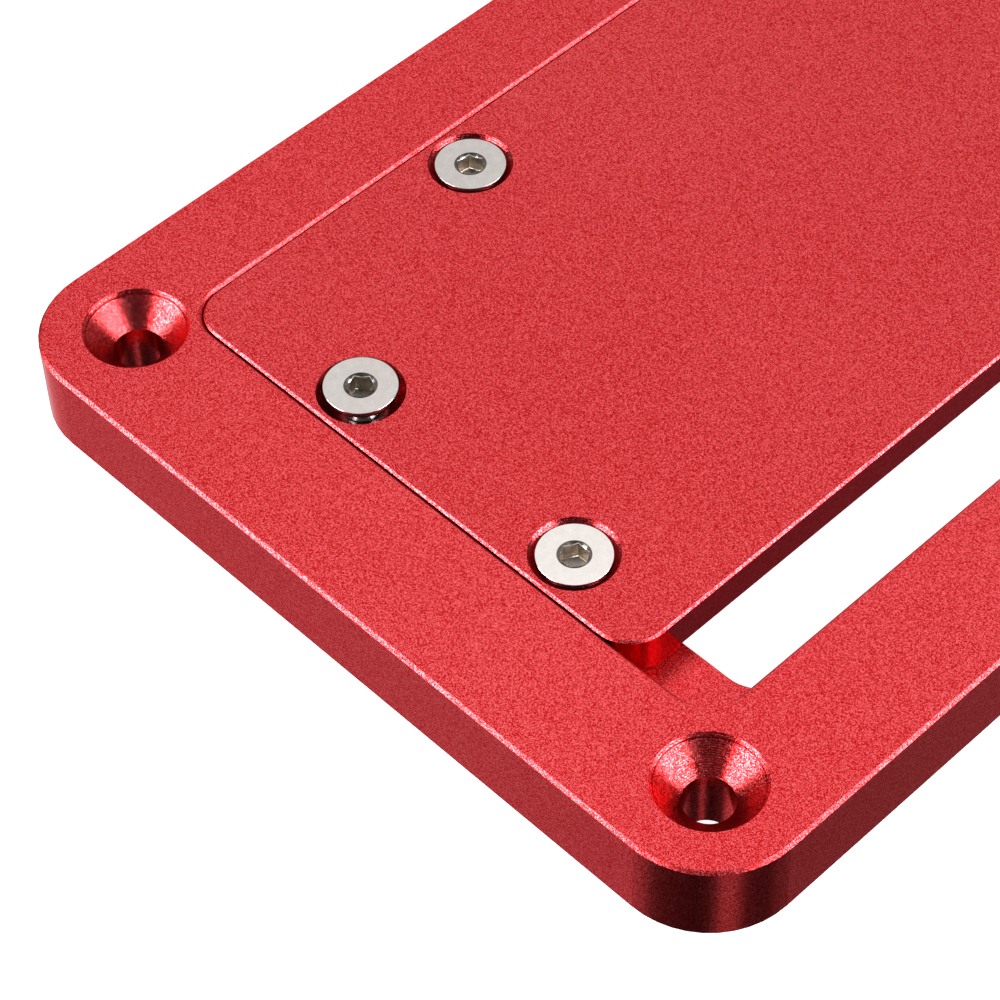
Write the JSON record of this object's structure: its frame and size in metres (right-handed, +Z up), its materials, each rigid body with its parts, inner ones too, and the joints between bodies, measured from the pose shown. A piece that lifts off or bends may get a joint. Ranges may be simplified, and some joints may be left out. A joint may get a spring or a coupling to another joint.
{
  "type": "saw or router table insert plate",
  "caption": "Long rounded-corner anodised plate with a screwed-down flush insert, a blade slot along one side and countersunk corner holes for mounting in a bench top.",
  "frame": {"origin": "centre of the frame plate's underside, which sits on the bench's rebate", "axes": "+Y along the plate, +X across it towards the blade slot, +Z up, out of the bench"},
  "size_m": [0.1, 0.3, 0.0108],
  "materials": {
    "anodised_frame": "bead-blasted and red anodised, with smooth milled walls and bright chamfers",
    "anodised_insert": "bead-blasted and red anodised, with smooth milled walls and bright chamfers",
    "stainless_screw": "plain stainless steel, fine satin"
  },
  "bodies": {
    "frame": {"frame_plate": "anodised_frame"},
    "insert": {"insert_plate": "anodised_insert"},
    "screw_front_left": {"screw_front_left": "stainless_screw"},
    "screw_front_right": {"screw_front_right": "stainless_screw"},
    "screw_side_front": {"screw_side_front": "stainless_screw"},
    "screw_side_middle": {"screw_side_middle": "stainless_screw"},
    "screw_side_back": {"screw_side_back": "stainless_screw"},
    "screw_back_left": {"screw_back_left": "stainless_screw"},
    "screw_back_right": {"screw_back_right": "stainless_screw"}
  },
  "joints": [
    {"name": "insert_lift", "type": "slide", "parent": "frame", "child": "insert", "axis": [0, 0, 1], "range_m": [0, 0.03]},
    {"name": "screw_front_left_turn", "type": "hinge", "parent": "insert", "child": "screw_front_left", "pos_m": [-0.0173, -0.12975, 0], "axis": [0, 0, 1], "continuous": true},
    {"name": "screw_front_right_turn", "type": "hinge", "parent": "insert", "child": "screw_front_right", "pos_m": [0.0127, -0.12975, 0], "axis": [0, 0, 1], "continuous": true},
    {"name": "screw_side_front_turn", "type": "hinge", "parent": "insert", "child": "screw_side_front", "pos_m": [-0.0328, -0.09945, 0], "axis": [0, 0, 1], "continuous": true},
    {"name": "screw_side_middle_turn", "type": "hinge", "parent": "insert", "child": "screw_side_middle", "pos_m": [-0.0328, 0, 0], "axis": [0, 0, 1], "continuous": true},
    {"name": "screw_side_back_turn", "type": "hinge", "parent": "insert", "child": "screw_side_back", "pos_m": [-0.0328, 0.09945, 0], "axis": [0, 0, 1], "continuous": true},
    {"name": "screw_back_left_turn", "type": "hinge", "parent": "insert", "child": "screw_back_left", "pos_m": [-0.0173, 0.12975, 0], "axis": [0, 0, 1], "continuous": true},
    {"name": "screw_back_right_turn", "type": "hinge", "parent": "insert", "child": "screw_back_right", "pos_m": [0.0127, 0.12975, 0], "axis": [0, 0, 1], "continuous": true}
  ]
}
